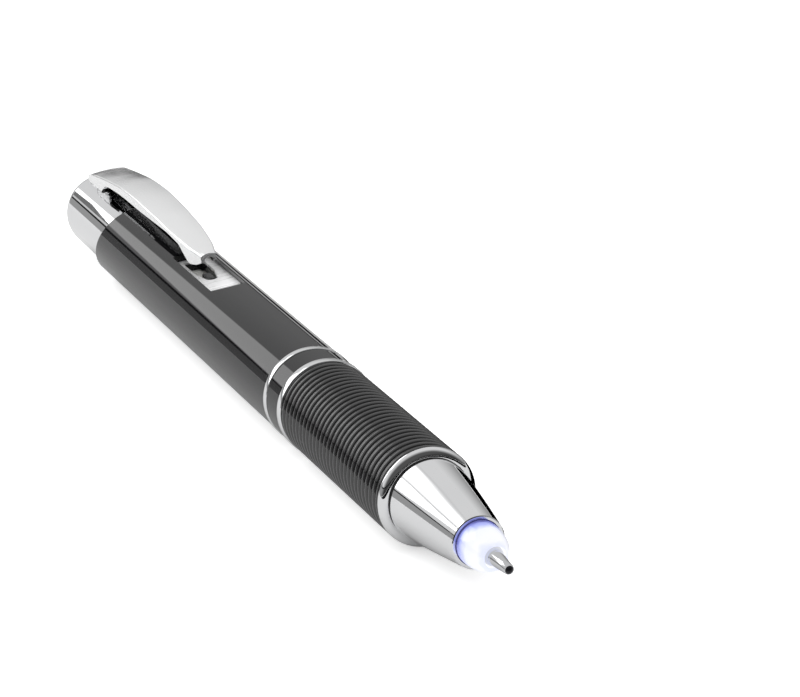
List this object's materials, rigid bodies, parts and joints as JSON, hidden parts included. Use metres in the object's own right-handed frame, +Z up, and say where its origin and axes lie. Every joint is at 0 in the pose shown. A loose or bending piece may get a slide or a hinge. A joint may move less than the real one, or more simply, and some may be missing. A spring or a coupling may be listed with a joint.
{
  "type": "counterfeit detector pen",
  "caption": "push-pull ballpoint pen with a slotted cap slide, a sprung pocket clip, a ribbed grip and an ultraviolet lamp ring around the writing tip",
  "frame": {"origin": "on the surface the pen lies on, under the middle of its length", "axes": "+X toward the writing tip along the pen, +Z up through the clip, +Y to the left seen from the cap"},
  "size_m": [0.1422, 0.0118, 0.0157],
  "materials": {
    "black_lacquer": "high gloss black lacquer",
    "chrome": "mirror chrome plate",
    "satin_chrome": "soft satin chrome plate",
    "black_plastic": "moulded black plastic",
    "black_rubber": "plain black rubber",
    "black_grip": "glossy black ribbed grip",
    "white_plastic": "moulded white plastic",
    "cell_steel": "nickel-plated can",
    "spring_steel": "drawn spring wire",
    "brass": "bare brass",
    "lamp_lens": "clear lens, lit blue-violet",
    "circuit_board": "green circuit board",
    "lamp_chip": "lamp chip body",
    "tip_metal": "turned nickel silver",
    "ball_metal": "dark inked carbide ball"
  },
  "bodies": {
    "barrel": {"barrel_tube": "black_lacquer", "rear_chrome_ring": "chrome", "coupling_insert": "black_plastic", "guide_sleeve": "black_plastic", "slot_plate": "chrome"},
    "plunger": {"cap_shell": "chrome", "cap_insert": "black_plastic", "friction_ring": "black_rubber", "push_rod": "white_plastic", "slide_key": "black_plastic", "cell_holder": "black_plastic", "button_cell_1": "cell_steel", "button_cell_2": "cell_steel", "button_cell_3": "cell_steel", "cell_spring": "spring_steel", "contact_stud": "brass", "clip_pin": "spring_steel", "clip_lug": "chrome", "clip_spring": "spring_steel"},
    "clip": {"clip": "satin_chrome"},
    "front_section": {"section_tube": "black_plastic", "joint_seal": "black_rubber", "joint_band": "black_lacquer", "front_chrome_ring": "chrome", "grip_sleeve": "black_grip", "nose_cone": "chrome", "lamp_lens": "lamp_lens", "lamp_board": "circuit_board", "uv_led_left": "lamp_chip", "uv_led_right": "lamp_chip", "contact_bush": "brass", "return_spring": "spring_steel"},
    "refill": {"refill_tube": "brass", "refill_collar": "brass", "refill_tip": "tip_metal"},
    "ball": {"writing_ball": "ball_metal"}
  },
  "joints": [
    {"name": "cap_slide", "type": "slide", "parent": "barrel", "child": "plunger", "axis": [-1, 0, 0], "range_m": [0, 0.005]},
    {"name": "clip_hinge", "type": "hinge", "parent": "plunger", "child": "clip", "pos_m": [-0.0634, 0, 0.01175], "axis": [0, -1, 0], "range_deg": [0, 7], "stiffness_Nm_per_rad": 0.8, "springref_deg": -2.86, "deforming": ["clip_spring"]},
    {"name": "front_section_off", "type": "slide", "parent": "barrel", "child": "front_section", "axis": [1, 0, 0], "range_m": [0, 0.015]},
    {"name": "refill_slide", "type": "slide", "parent": "front_section", "child": "refill", "axis": [-1, 0, 0], "range_m": [0, 0.0042], "deforming": ["return_spring"]},
    {"name": "ball_roll", "type": "hinge", "parent": "refill", "child": "ball", "pos_m": [0.0706, 0, 0.0059], "axis": [0, 1, 0], "continuous": true}
  ],
  "couplings": [
    {"joint": "refill_slide", "follows": "cap_slide", "ratio": 0.84}
  ]
}
